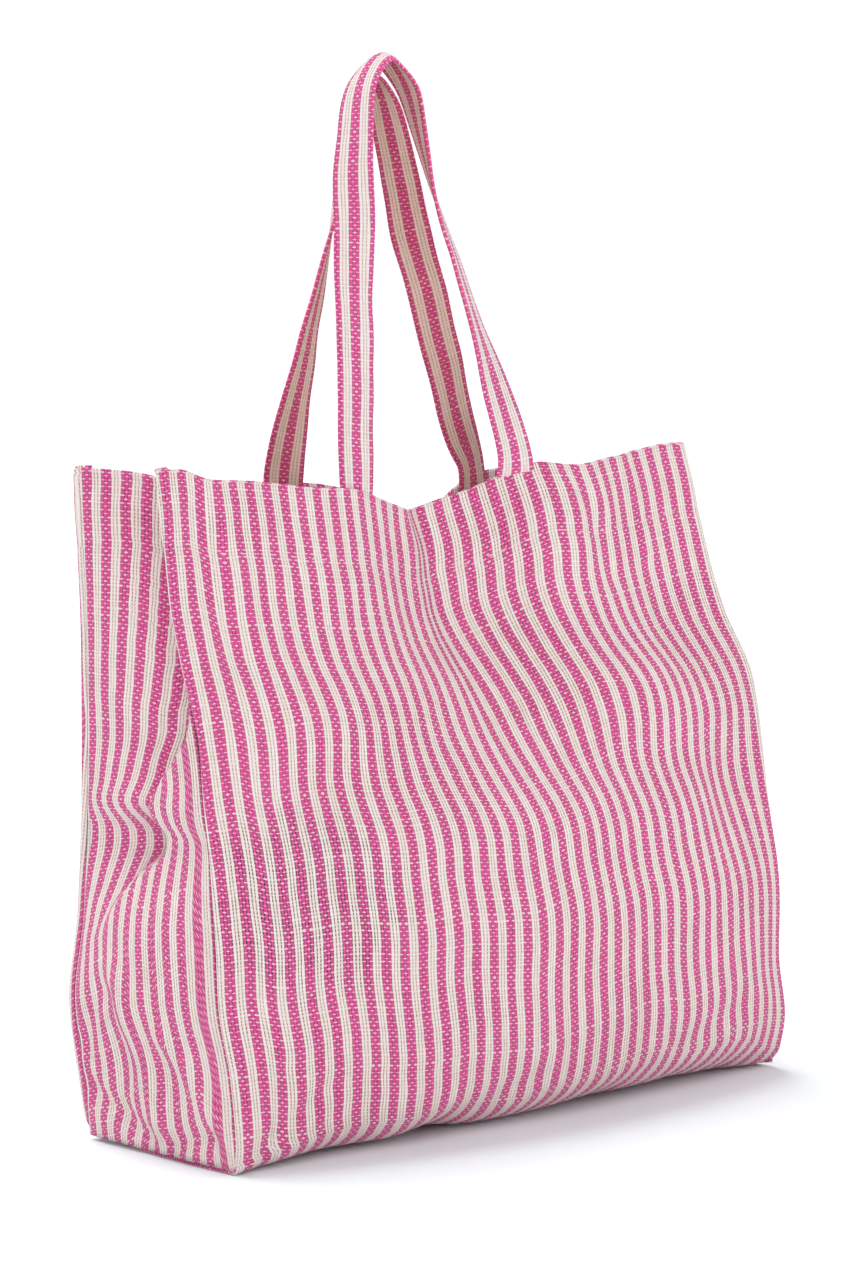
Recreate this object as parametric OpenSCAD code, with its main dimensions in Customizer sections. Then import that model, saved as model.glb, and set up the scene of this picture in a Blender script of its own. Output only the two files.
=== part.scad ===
// Open-topped beach bag of coarse striped cloth, standing up, with two strap handles held up.
// The origin is the centre of the base on the floor. +X is the bag's right, -Y its front, +Z up.
// One long cloth makes the front, the base and the back; a gusset closes each end.

/* [Bag] */
// Width of the base, left to right
base_w = 450; // [442:1:458]
// Depth of the base, front to back
base_d = 150; // [147:1:153]
// Height of the top edge at the corners
bag_h = 410; // [406:1:414]
// Thickness of the cloth, its loose surface yarns included
cloth_t = 2.0; // [1.8:0.1:2.2]

/* [Fullness] */
// How far the lower front swells out of its corner seams
front_belly = 38; // [30:1:42]
// How far the lower back swells out
back_belly = 12; // [4:1:16]
// How far each gusset is folded in at the top
gusset_fold = 56; // [45:1:60]

/* [Hems and seams] */
// Depth of the turned-in top hem
hem_h = 43; // [36:1:44]
// Width of the joined seam allowances inside the corners
seam_w = 8; // [6:1:9]

/* [Handles] */
// Width of the handle strap
strap_w = 25.7; // [24:0.1:26]
// Thickness of the folded strap
strap_t = 2.6; // [2.2:0.1:2.8]
// Length of each strap end caught inside the hem
tab_h = 34; // [28:1:36]

/* [Hidden] */

air = 0.4;                    // room left between neighbouring layers of cloth
thread_t = 0.8;               // thickness of the sewing thread
stitch_len = 4.5;             // length of one stitch in the hem
stitch_pitch = 9;             // from one hem stitch to the next
floor_gap = cloth_t + air;    // the walls start just above the base cloth
seam_top = bag_h - hem_h - 4; // the corner allowances end below the hem
wall_cols = 27;               // grid of the front and back walls
wall_rows = 11;               // rows below the hem
gusset_cols = 19;
hem_rows = 3;                 // rows within the depth of the hem
ring_count = 44;              // rings along one handle

pink = [0.84, 0.31, 0.58];
rose = [0.90, 0.56, 0.71];
cream = [0.91, 0.87, 0.84];

// ---- small helpers ----
function unit(v) = v / norm(v);
function mix(a, b, t) = a + (b - a) * t;
function bump(t, centre, width) = exp(-pow((t - centre) / width, 2));
function column(table, k) = [for (row = table) [row[0], row[k]]];

// ---- corner seams ----
// Rows of [height, x, y]: how far a seam stands off its base corner at that height
front_left_line = [[0, 0, 0], [60, -4, 3], [100, -9, 7], [140, -6, 13], [220, -2, 26],
                   [300, -6, 37], [340, -9, 42], [410, -9, 50]];
front_right_line = [[0, 2, 0], [40, -2, -12], [80, -10, -14], [120, -6, -11], [180, -3, 0],
                    [220, 2, 11], [260, 3, 21], [300, -8, 31], [340, -17, 39], [410, -28, 50]];
back_left_line = [[0, 0, 0], [30, -5, -1], [90, -13, -2], [140, -6, -3], [220, -2, -5],
                  [300, -1, -6], [410, -5, -8]];
back_right_line = [[0, 0, 0], [90, 6, -2], [220, 2, -5], [300, -6, -7], [410, -22, -9]];

function corner(line, side, face, z) =
    [side * base_w / 2 + lookup(z, column(line, 1)),
     face * base_d / 2 + lookup(z, column(line, 2)), z];
function front_left(z) = corner(front_left_line, -1, -1, z);
function front_right(z) = corner(front_right_line, 1, -1, z);
function back_left(z) = corner(back_left_line, -1, 1, z);
function back_right(z) = corner(back_right_line, 1, 1, z);

// ---- top edges: the hem dips between the handles ----
function front_top(u) = bag_h - 13 * bump(u, 0.3, 0.17) - 27 * bump(u, 0.5, 0.1);
function back_top(u) =
    bag_h - 12 * bump(u, 0.3, 0.22) - 36 * bump(u, 0.6, 0.13) - 14 * bump(u, 0.85, 0.15);
function gusset_top(s) = bag_h - 5 * sin(180 * s);

// ---- wall shapes: u runs left to right, s runs front to back ----
function low_belly(z) = z < 125 ? 1 - 0.66 * pow((125 - z) / 125, 2.2) : bump(z, 125, 75);
function arch(u) = sin(180 * u);
function front_swell(u, z) =
    front_belly * pow(arch(u), 0.7) * low_belly(z)              // the full lower front
    + 20 * pow(arch(u), 0.5) * bump(z, 252, 38)                 // the ledge at mid height
    + 7 * arch(u) * bump(z, 320, 45)
    + 15 * bump(u, 0.72, 0.1) * bump(z, 375, 45)                // the right of the hem
    + 6 * bump(u, 0.74, 0.1) * bump(z, 262, 30)
    + 8 * bump(u, 0.15, 0.12) * bump(z, 258, 28)
    + 8 * pow(arch(u), 0.5) * bump(z, 188, 24)
    - 30 * bump(u, 0.505, 0.15) * bump(z, 328, z > 328 ? 85 : 90); // the channel under the hem's dip
function back_swell(u, z) =
    back_belly * sin(180 * u) * bump(z, 110, 90) - 12 * bump(u, 0.5, 0.18) * bump(z, 400, 110);

function front_point(u, z) = mix(front_left(z), front_right(z), u) - [0, front_swell(u, z), 0];
function back_point(u, z) = mix(back_left(z), back_right(z), u) + [0, back_swell(u, z), 0];

// The fold is a tent pointing into the bag: it runs straight from the front seam to
// its ridge and eases back to the rear seam
function ridge(z) = lookup(z, [[180, 0.11], [260, 0.15], [300, 0.17], [340, 0.23], [400, 0.34]]);
function fold_share(z) = lookup(z, [[150, 0], [180, 0.08], [220, 0.36], [260, 0.72],
                                    [300, 0.84], [340, 0.94], [400, 1]]);
function fold_ease(z) = lookup(z, [[300, 3.2], [400, 1.7]]);
function fold(s, z) =
    gusset_fold * fold_share(z)
    * (s < ridge(z) ? s / ridge(z) : pow((1 - s) / (1 - ridge(z)), fold_ease(z)));
function gusset_swell(s, z) = 9 * sin(180 * s) * bump(z, 95, 80);
function gusset_point(s, z, left) =
    let (inward = fold(s, z) - gusset_swell(s, z))
    left ? mix(front_left(z), back_left(z), s) + [inward, 0, 0]
         : mix(front_right(z), back_right(z), s) - [inward, 0, 0];

// ---- closed sheets ----
function grid_slope(grid, i, j) =
    let (last_i = len(grid) - 1, last_j = len(grid[0]) - 1,
         along = grid[min(i + 1, last_i)][j] - grid[max(i - 1, 0)][j],
         across = grid[i][min(j + 1, last_j)] - grid[i][max(j - 1, 0)])
    unit(cross(across, along));

function moved_in(grid, depth) =
    [for (i = [0:len(grid) - 1])
        [for (j = [0:len(grid[0]) - 1]) grid[i][j] - depth * grid_slope(grid, i, j)]];

// Sheet of the given thickness behind an outer grid whose rows go up and whose columns
// run so that (column direction) x (row direction) points outward
module closed_sheet(grid, thickness) {
    rows = len(grid);
    cols = len(grid[0]);
    back = rows * cols;
    inner = moved_in(grid, thickness);
    skin = [for (i = [0:rows - 2]) for (j = [0:cols - 2])
            [i * cols + j, (i + 1) * cols + j, (i + 1) * cols + j + 1, i * cols + j + 1]];
    lining = [for (f = skin) [back + f[0], back + f[3], back + f[2], back + f[1]]];
    rim = concat([for (j = [0:cols - 1]) j],
                 [for (i = [1:rows - 1]) i * cols + cols - 1],
                 [for (j = [cols - 2:-1:0]) (rows - 1) * cols + j],
                 [for (i = [rows - 2:-1:1]) i * cols]);
    walls = [for (k = [0:len(rim) - 1]) let (a = rim[k], b = rim[(k + 1) % len(rim)])
             [a, b, back + b, back + a]];
    halves = [for (f = concat(skin, lining, walls)) each [[f[0], f[1], f[2]], [f[0], f[2], f[3]]]];
    polyhedron(concat([for (row = grid) each row], [for (row = inner) each row]), halves);
}

function steps(low, high, count) = [for (k = [0:count - 1]) mix(low, high, k / (count - 1))];
// Heights of a wall's rows under a top edge: they crowd together near the floor, where the
// walls curve most, and the last few are those of the hem
function hem_heights(top) = steps(top - hem_h, top, hem_rows);
function wall_heights(top) =
    concat([for (k = [0:wall_rows - 1]) mix(floor_gap, top - hem_h, pow(k / wall_rows, 1.25))],
           hem_heights(top));
function trimmed(grid, from, to) = [for (row = grid) [for (j = [from:to]) row[j]]];
function hem_part(grid) = [for (i = [wall_rows:wall_rows + hem_rows - 1]) grid[i]];

// How far along a gusset its cloth starts, so that it clears the wall at a sharp corner
function corner_room(wall_way, gusset_way) =
    let (cosine = unit(wall_way) * unit(gusset_way))
    (cloth_t * (1 + cosine) + 4 * air) / sqrt(1 - cosine * cosine);

// ---- cloth walls ----
front_grid = [for (k = [0:wall_rows + hem_rows - 1])
              [for (u = steps(0, 1, wall_cols)) front_point(u, wall_heights(front_top(u))[k])]];
back_grid = [for (k = [0:wall_rows + hem_rows - 1])
             [for (u = steps(1, 0, wall_cols)) back_point(u, wall_heights(back_top(u))[k])]];

// A gusset's row of points runs between its two corner clearances
function gusset_row(k, left) =
    let (z = wall_heights(bag_h)[k],
         front_way = (left ? front_point(0.04, z) - front_point(0, z)
                           : front_point(0.96, z) - front_point(1, z)),
         back_way = (left ? back_point(0.04, z) - back_point(0, z)
                          : back_point(0.96, z) - back_point(1, z)),
         front_leg = gusset_point(0.1, z, left) - gusset_point(0, z, left),
         back_leg = gusset_point(0.9, z, left) - gusset_point(1, z, left),
         s0 = 0.1 * corner_room(front_way, front_leg) / norm(front_leg),
         s1 = 1 - 0.1 * corner_room(back_way, back_leg) / norm(back_leg))
    [for (s = left ? steps(s1, s0, gusset_cols) : steps(s0, s1, gusset_cols))
        gusset_point(s, wall_heights(gusset_top(s))[k], left)];
function gusset_grid(left) = [for (k = [0:wall_rows + hem_rows - 1]) gusset_row(k, left)];

module front_panel() {
    color(pink) closed_sheet(front_grid, cloth_t);
}

module back_panel() {
    color(pink) closed_sheet(back_grid, cloth_t);
}

module left_gusset() {
    color(rose) closed_sheet(gusset_grid(true), cloth_t);
}

module right_gusset() {
    color(rose) closed_sheet(gusset_grid(false), cloth_t);
}

module base_panel() {
    front_edge = [for (u = steps(0, 1, wall_cols)) front_point(u, 0)];
    back_edge = [for (u = steps(1, 0, wall_cols)) back_point(u, 0)];
    color(pink) linear_extrude(cloth_t)
        polygon([for (p = concat(front_edge, back_edge)) [p[0], p[1]]]);
}

// ---- turned-in hems: a second layer of cloth inside the top edge ----
hem_depth = cloth_t + air;

module hem_layer(grid, from, to) {
    closed_sheet(trimmed(moved_in(hem_part(grid), hem_depth), from, to), cloth_t);
}

module front_hem() {
    color(rose) hem_layer(front_grid, 2, wall_cols - 3);
}

module back_hem() {
    color(rose) hem_layer(back_grid, 1, wall_cols - 2);
}

module gusset_hem(left) {
    color(cream) hem_layer(gusset_grid(left), left ? 2 : 4, gusset_cols - (left ? 5 : 3));
}

module left_gusset_hem() {
    gusset_hem(true);
}

module right_gusset_hem() {
    gusset_hem(false);
}

// ---- joined seam allowances: they stand into the bag along each corner's bisector ----
function seam_way(wall_way, gusset_way) = unit(unit(wall_way) + unit(gusset_way));
function seam_start(wall_way, gusset_way) =
    let (half_sine = norm(unit(wall_way) - unit(gusset_way)) / 2,
         half_cosine = sqrt(1 - half_sine * half_sine))
    (cloth_t + 4 * air + cloth_t / 2 * half_cosine) / half_sine;

function seam_row(z, left, at_front) =
    let (from = left ? 0 : 1,
         inset = left ? 0.04 : 0.96,
         corner_point = at_front ? front_point(from, z) : back_point(from, z),
         wall_way = (at_front ? front_point(inset, z) : back_point(inset, z)) - corner_point,
         gusset_way = gusset_point(at_front ? 0.1 : 0.9, z, left) - corner_point,
         way = seam_way(wall_way, gusset_way),
         start = seam_start(wall_way, gusset_way),
         side = cloth_t / 2 * cross(way, [0, 0, 1]))
    [corner_point + start * way + side, corner_point + (start + seam_w) * way + side];

module corner_seam(left, at_front) {
    color(cream)
        closed_sheet([for (z = steps(floor_gap + 8, seam_top, 14)) seam_row(z, left, at_front)],
                     cloth_t);
}

module left_front_seam() {
    corner_seam(true, true);
}

module left_back_seam() {
    corner_seam(true, false);
}

module right_front_seam() {
    corner_seam(false, true);
}

module right_back_seam() {
    corner_seam(false, false);
}

// The allowances at a gusset's foot lie flat on the base
module base_seam(side) {
    inset = cloth_t + 4 * air;
    run = base_d - 4 * seam_w;
    color(cream)
        translate([side * (base_w / 2 - inset - seam_w / 2), 0, floor_gap])
            linear_extrude(cloth_t)
                square([seam_w, run], center = true);
}

module left_base_seam() {
    base_seam(-1);
}

module right_base_seam() {
    base_seam(1);
}

// ---- stitches ----
// One stitch lying on the outside of a wall, between two surface points
module stitch(a, b, out) {
    lift = 2 * air * out;
    body = thread_t * out;
    rise = [0, 0, thread_t / 2];
    grid = [[a + body + lift - rise, b + body + lift - rise],
            [a + body + lift + rise, b + body + lift + rise]];
    closed_sheet(grid, thread_t);
}

module hem_stitching() {
    count = floor(base_w / stitch_pitch);
    color(cream)
        for (k = [2:count - 3], face = [0, 1]) {
            u = k / count;
            v = u + stitch_len / base_w;
            z = (face == 0 ? front_top(u) : back_top(u)) - hem_h + 3;
            a = face == 0 ? front_point(u, z) : back_point(v, z);
            b = face == 0 ? front_point(v, z) : back_point(u, z);
            stitch(a, b, unit(cross(b - a, [0, 0, 1])));
        }
}

// ---- handles ----
// Rows of [x, y, height above the corners' top edge, turn of the strap's face].
// Each leg starts in line with the hem, turns a quarter turn on its way up and meets
// the other leg over the top.
front_loop = [[-80, -18, -12, -3], [-73, -10, 37, -6], [-65, -1, 98, -14], [-57, 8, 159, -42],
              [-52, 12, 190, -66], [-43, 15, 232, -84], [-24, 16, 250, -90], [-6, 15, 231, -98],
              [5, 12, 190, -118], [11, 6, 155, -134], [20, -1, 120, -141], [27, -12, 78, -150],
              [35, -21, 38, -176], [43, -27, 0.5, -187]];
back_loop = [[-76, 57, -10, -24], [-69, 55, 28, 2], [-61, 47, 80, 28], [-53, 40, 125, 44],
             [-45, 34, 170, 64], [-38, 30, 215, 82], [-25, 29, 238, 90], [-12, 30, 222, 100],
             [1, 32, 180, 118], [16, 38, 140, 138], [34, 44, 104, 152], [55, 51, 55, 162],
             [72, 57, 14, 174], [84, 60, -7, 188]];

function spline(p, q, r, s, t) =
    ((2 * q) + (r - p) * t + (2 * p - 5 * q + 4 * r - s) * t * t
     + (3 * q - p - 3 * r + s) * t * t * t) / 2;
function along_loop(loop, t) =
    let (last = len(loop) - 1, k = min(floor(t * last), last - 1), f = t * last - k)
    spline(loop[max(k - 1, 0)], loop[k], loop[k + 1], loop[min(k + 2, last)], f);

function strap_ring(loop, t) =
    let (here = along_loop(loop, t),
         before = along_loop(loop, max(t - 0.01, 0)),
         after = along_loop(loop, min(t + 0.01, 1)),
         way = unit([for (k = [0:2]) after[k] - before[k]]),
         raw = [cos(here[3]), sin(here[3]), 0],
         across = unit(raw - (raw * way) * way),
         out = cross(across, way),
         centre = [here[0], here[1], here[2] + bag_h],
         w = strap_w / 2 * across,
         h = strap_t / 2 * out)
    [centre - w - h, centre + w - h, centre + w + h, centre - w + h];

module strap_loop(loop) {
    rings = [for (k = [0:ring_count - 1]) strap_ring(loop, k / (ring_count - 1))];
    sides = [for (k = [0:ring_count - 2], c = [0:3])
             let (a = 4 * k + c, b = 4 * k + (c + 1) % 4)
             each [[a, b + 4, a + 4], [a, b, b + 4]]];
    last = 4 * (ring_count - 1);
    ends = [[0, 2, 1], [0, 3, 2], [last, last + 1, last + 2], [last, last + 2, last + 3]];
    polyhedron([for (ring = rings) each ring], concat(sides, ends));
}

module front_handle() {
    color(pink) strap_loop(front_loop);
}

module back_handle() {
    color(pink) strap_loop(back_loop);
}

// ---- strap ends, stitched flat inside the hem ----
tab_depth = 2 * (cloth_t + 2 * air);
front_roots = [front_loop[0][0], front_loop[len(front_loop) - 1][0]];
back_roots = [back_loop[0][0], back_loop[len(back_loop) - 1][0]];

function front_share(x) = (x - front_left(bag_h)[0]) / (front_right(bag_h)[0] - front_left(bag_h)[0]);
function back_share(x) = (x - back_left(bag_h)[0]) / (back_right(bag_h)[0] - back_left(bag_h)[0]);
half_share = strap_w / 2 / (front_right(bag_h)[0] - front_left(bag_h)[0]);

// Patch of a wall behind a strap end, from one depth below the top edge to another
function tab_grid(x, at_front, low, high, half) =
    let (u = at_front ? front_share(x) : back_share(x),
         columns = at_front ? steps(u - half, u + half, 5) : steps(u + half, u - half, 5))
    [for (depth = steps(low, high, 4))
        [for (c = columns)
            at_front ? front_point(c, front_top(c) - depth) : back_point(c, back_top(c) - depth)]];

module strap_tab(x, at_front) {
    closed_sheet(moved_in(tab_grid(x, at_front, tab_h, 1, half_share), tab_depth), strap_t);
}

module front_handle_ends() {
    color(pink) for (x = front_roots) strap_tab(x, true);
}

module back_handle_ends() {
    color(pink) for (x = back_roots) strap_tab(x, false);
}

// Two rows of stitching across each strap end
module tab_stitching(x, at_front) {
    for (low = [tab_h - 4, tab_h - 22])
        closed_sheet(moved_in(tab_grid(x, at_front, low, low - thread_t, half_share * 0.8),
                              tab_depth + strap_t + 0.3), thread_t);
}

module front_handle_stitching() {
    color(cream) for (x = front_roots) tab_stitching(x, true);
}

module back_handle_stitching() {
    color(cream) for (x = back_roots) tab_stitching(x, false);
}

front_panel();
base_panel();
back_panel();
left_gusset();
right_gusset();
front_hem();
back_hem();
left_gusset_hem();
right_gusset_hem();
left_front_seam();
left_base_seam();
left_back_seam();
right_front_seam();
right_base_seam();
right_back_seam();
hem_stitching();
front_handle();
back_handle();
front_handle_ends();
back_handle_ends();
front_handle_stitching();
back_handle_stitching();
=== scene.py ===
"""Beach bag of coarse striped cloth: one long cloth makes the front, the base and the back, a
pleated gusset closes each end, and two strap handles are sewn inside the turned-in hem."""
import math

import bpy
import numpy as np
from mathutils import Matrix, Vector, noise


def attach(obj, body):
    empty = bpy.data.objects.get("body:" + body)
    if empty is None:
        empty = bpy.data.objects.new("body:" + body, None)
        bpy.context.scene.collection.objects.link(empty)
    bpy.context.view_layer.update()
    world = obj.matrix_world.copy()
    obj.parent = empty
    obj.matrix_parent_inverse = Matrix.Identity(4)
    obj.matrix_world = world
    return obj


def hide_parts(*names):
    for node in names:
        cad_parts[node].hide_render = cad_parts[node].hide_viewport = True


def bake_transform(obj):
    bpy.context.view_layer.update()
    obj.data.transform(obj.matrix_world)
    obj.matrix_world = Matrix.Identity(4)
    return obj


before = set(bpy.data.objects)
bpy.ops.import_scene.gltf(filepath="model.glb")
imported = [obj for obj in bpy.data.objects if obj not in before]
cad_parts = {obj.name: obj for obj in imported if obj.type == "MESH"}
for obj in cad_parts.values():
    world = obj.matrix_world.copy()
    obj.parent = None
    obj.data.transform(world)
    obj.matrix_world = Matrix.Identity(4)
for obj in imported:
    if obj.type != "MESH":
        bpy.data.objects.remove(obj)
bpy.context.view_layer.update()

MM = 0.001

# ---- sizes, in millimetres ----
BASE_W = 450.0
BASE_D = 150.0
BAG_H = 410.0
CLOTH_T = 1.1          # the cloth, without its loose surface yarns
HEM_H = 45.0
HEM_GAP = 2 * CLOTH_T + 0.5
SEAM_W = 8.0           # allowance that stands into the bag along each corner
STRAP_W = 25.7
STRAP_T = 2.3
TAB_H = 34.0
HEM_ROWS = np.linspace(HEM_H, 3, 12)              # depths down the turned-in layer
FOLD_TURNS = np.radians([150, 120, 90, 60, 30])   # and the angles over its fold
WALL_ROWS = 100
STRIPE = 12.857        # one pink stripe and one cream one: 36 across the front
WARP = STRIPE / 6      # three thick threads make each stripe
WEFT = 2.25


# ---- small helpers ----
def bump(t, centre, width):
    return np.exp(-((t - centre) / width) ** 2)


def unit(v):
    return v / np.maximum(np.linalg.norm(v, axis=-1, keepdims=True), 1e-9)


def mix(a, b, t):
    return a + (b - a) * t


def smooth_line(t, rows, k):
    """Column k of rows of [t, ...], joined by smooth curves that don't overshoot."""
    x = np.array([r[0] for r in rows], float)
    y = np.array([r[k] for r in rows], float)
    slope = np.diff(y) / np.diff(x)
    m = np.zeros(len(x))
    same = slope[:-1] * slope[1:] > 0
    m[1:-1][same] = 2 * slope[:-1][same] * slope[1:][same] / (slope[:-1] + slope[1:])[same]
    m[0], m[-1] = slope[0], slope[-1]
    t = np.clip(t, x[0], x[-1])
    i = np.clip(np.searchsorted(x, t) - 1, 0, len(x) - 2)
    h = x[i + 1] - x[i]
    f = (t - x[i]) / h
    return ((2 * f ** 3 - 3 * f ** 2 + 1) * y[i] + (f ** 3 - 2 * f ** 2 + f) * h * m[i]
            + (3 * f ** 2 - 2 * f ** 3) * y[i + 1] + (f ** 3 - f ** 2) * h * m[i + 1])


def ripple(points, size, seed):
    """Smooth noise at each point, from about -1 to 1."""
    flat = points.reshape(-1, 3) / size
    values = [noise.noise(Vector((p[0] + seed, p[1], p[2]))) for p in flat]
    return np.array(values).reshape(points.shape[:-1])


def crease(t, z, start, end, width):
    """1 along a straight line between two (across, height) points in mm, fading to 0 beside it."""
    (t0, z0), (t1, z1) = start, end
    long2 = (t1 - t0) ** 2 + (z1 - z0) ** 2
    f = np.clip(((t - t0) * (t1 - t0) + (z - z0) * (z1 - z0)) / long2, 0, 1)
    off2 = (t - t0 - f * (t1 - t0)) ** 2 + (z - z0 - f * (z1 - z0)) ** 2
    return np.exp(-off2 / width ** 2)


# ---- corner seams: [height, x, y] off each base corner ----
FRONT_LEFT = [[0, 0, 0], [60, -4, 3], [100, -9, 7], [140, -6, 13], [220, -2, 26],
              [300, -6, 37], [340, -9, 42], [410, -9, 50]]
FRONT_RIGHT = [[0, 2, 0], [40, -2, -12], [80, -10, -14], [120, -6, -11], [180, -3, 0],
               [220, 2, 11], [260, 3, 21], [300, -8, 31], [340, -17, 39], [410, -28, 50]]
BACK_LEFT = [[0, 0, 0], [30, -5, -1], [90, -13, -2], [140, -6, -3], [220, -2, -5],
             [300, -1, -6], [410, -5, -8]]
BACK_RIGHT = [[0, 0, 0], [90, 6, -2], [220, 2, -5], [300, -6, -7], [410, -22, -9]]


def corner(line, side, face, z):
    z = np.asarray(z, float)
    return np.stack([side * BASE_W / 2 + smooth_line(z, line, 1),
                     face * BASE_D / 2 + smooth_line(z, line, 2), z], -1)


def front_left(z):
    return corner(FRONT_LEFT, -1, -1, z)


def front_right(z):
    return corner(FRONT_RIGHT, 1, -1, z)


def back_left(z):
    return corner(BACK_LEFT, -1, 1, z)


def back_right(z):
    return corner(BACK_RIGHT, 1, 1, z)


# ---- top edges ----
FRONT_EDGE = [[0, 411], [0.03, 411], [0.08, 404.5], [0.16, 402], [0.27, 396], [0.34, 394],
              [0.43, 383], [0.48, 378], [0.51, 382], [0.57, 389], [0.64, 401], [0.68, 406],
              [0.75, 403], [0.83, 406], [0.9, 410], [0.97, 413], [1, 412]]


def front_top(u):
    return smooth_line(np.clip(u, 0, 1), FRONT_EDGE, 1)


def back_top(u):
    return (BAG_H - 18 * bump(u, 0.28, 0.20) - 36 * bump(u, 0.6, 0.13) - 18 * bump(u, 0.93, 0.15)
            + 0.8 * np.sin(38 * u))


def gusset_top(s, left):
    s = np.clip(s, 0, 1)
    return (BAG_H + 0.5 - 2.5 * np.sin(np.pi * s) ** 2 - 10 * bump(s, 0.36, 0.17)
            - (0 if left else 14 * s ** 2 + 8 * bump(s, 0.30, 0.20)))


# ---- wall shapes: u runs left to right, s front to back ----
def arch(u):
    return np.sin(np.pi * np.clip(u, 0, 1))


def front_swell(u, z):
    low = np.where(z < 125, 1 - 0.66 * (np.clip(125 - z, 0, None) / 125) ** 2.2,
                   bump(z, 125, 75))
    channel = bump(z, 328, np.where(z > 328, 85, 90))
    return (38 * arch(u) ** 0.7 * low + 20 * arch(u) ** 0.5 * bump(z, 252, 38)
            + 7 * arch(u) * bump(z, 320, 45)
            + 15 * bump(u, 0.72, 0.10) * bump(z, 375, 45)
            + 6 * bump(u, 0.74, 0.10) * bump(z, 262, 30)
            + 8 * bump(u, 0.15, 0.12) * bump(z, 258, 28)
            + 8 * arch(u) ** 0.5 * bump(z, 188, 24)
            - 9 * bump(u, 0.46, 0.16) * bump(z, 250, 26) + 11 * bump(u, 0.44, 0.24) * bump(z, 200, 32)
            - 8 * bump(u, 0.88, 0.10) * bump(z, 300, 40) - 9 * bump(u, 0.92, 0.07) * bump(z, 192, 34)
            + 8 * bump(u, 0.58, 0.12) * bump(z, 350, 22) + 4 * bump(u, 0.45, 0.25) * bump(z, 145, 40)
            - 33 * bump(u, 0.505, 0.14) * channel
            - 8 * bump(u, 0.478 + (390 - z) * 0.0004, 0.017) * bump(z, 396, 40)
            - 3 * crease(u * 450, z, (8, 8), (60, 46), 7) - 2.5 * crease(u * 450, z, (20, 4), (34, 60), 6)
            - 2.5 * crease(u * 450, z, (150, 10), (215, 34), 9)
            - 2.5 * crease(u * 450, z, (290, 12), (400, 52), 10)
            - 2 * crease(u * 450, z, (35, 300), (22, 385), 9)
            + 2 * crease(u * 450, z, (55, 290), (40, 400), 9)
            - 2.5 * crease(u * 450, z, (330, 400), (352, 330), 9)
            + 2 * crease(u * 450, z, (385, 405), (395, 345), 8))


def back_swell(u, z):
    return 12 * arch(u) * bump(z, 110, 90) - 12 * bump(u, 0.5, 0.18) * bump(z, 400, 110)


def front_point(u, z):
    p = mix(front_left(z), front_right(z), u[..., None])
    p[..., 1] -= front_swell(u, z)
    return p


def back_point(u, z):
    p = mix(back_left(z), back_right(z), u[..., None])
    p[..., 1] += back_swell(u, z)
    return p


def wall_normal(point, u, z, face):
    across = point(u + 0.004, z) - point(u - 0.004, z)
    up = point(u, z + 2) - point(u, z - 2)
    return unit(np.cross(across, up)) * -face


# ---- gussets: a pleat that opens out below mid height ----
# [height, front lip, ridge, depth of the pleat, how it eases back]: the lip leaves the front
# seam at mid height and the pleat runs out across the gusset as a slanting crease
PLEAT = [[130, 0.70, 0.80, 0, 1.5], [150, 0.62, 0.72, 6, 1.5], [170, 0.50, 0.62, 13, 1.5],
         [186, 0.34, 0.54, 19, 1.5], [198, 0.36, 0.50, 17, 1.8], [212, 0.38, 0.47, 12, 2.6],
         [228, 0.32, 0.42, 17, 2.8], [245, 0.18, 0.29, 27, 2.8], [262, 0.05, 0.18, 36, 2.8],
         [280, 0.0, 0.16, 43, 2.6], [300, 0.0, 0.17, 47, 2.6], [340, 0.0, 0.23, 53, 2.2],
         [400, 0.0, 0.34, 56, 1.7]]
FAR_PLEAT = [[150, 0.0, 0.10, 0, 3.0], [180, 0.0, 0.11, 5, 3.0], [220, 0.0, 0.13, 20, 3.0],
             [260, 0.0, 0.15, 40, 3.0], [300, 0.0, 0.17, 47, 2.8], [340, 0.0, 0.23, 53, 2.2],
             [400, 0.0, 0.34, 56, 1.7]]


def gusset_inward(s, z, left):
    rows = PLEAT if left else FAR_PLEAT
    lip, ridge, depth, ease = (smooth_line(z, rows, k) for k in (1, 2, 3, 4))
    rise = np.clip((s - lip) / (ridge - lip), 0, 1)
    rise = mix(rise, rise * rise * (3 - 2 * rise), np.clip(lip / 0.05, 0, 1))
    fall = np.clip((1 - s) / (1 - ridge), 0, 1) ** ease
    inward = depth * np.where(s < ridge, rise, fall)
    mid = np.sin(np.pi * np.clip(s, 0, 1))
    inward = inward - 9 * mid * bump(z, 95, 80)
    if left:
        behind = np.clip((s - ridge) / 0.2, 0, 1)
        inward = (inward + 4 * mid * behind * bump(z, 247, 13)
                  + 7 * mid ** 0.5 * bump(z, 192, np.where(z > 192, 8, 22))
                  - 5 * mid * bump(z, 212, 9) - 6 * mid * bump(z, 140, 26)
                  + 6 * mid * bump(z, 58, 24)
                  + 4 * crease(s * 150, z, (140, 34), (84, 12), 8)
                  + 4 * crease(s * 150, z, (24, 20), (64, 10), 7)
                  - 3.5 * crease(s * 150, z, (54, 76), (16, 28), 9)
                  + 3 * crease(s * 150, z, (112, 98), (140, 62), 9)
                  - 3 * crease(s * 150, z, (88, 105), (70, 22), 10)
                  + 2.5 * crease(s * 150, z, (100, 96), (104, 24), 8))
    else:
        inward = inward + 8 * mid * bump(z, 200, 22) - 4 * mid * bump(z, 160, 20)
    return inward


def gusset_point(s, z, left):
    if left:
        p = mix(front_left(z), back_left(z), s[..., None])
    else:
        p = mix(front_right(z), back_right(z), s[..., None])
    p[..., 0] += gusset_inward(s, z, left) * (1 if left else -1)
    return p


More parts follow.
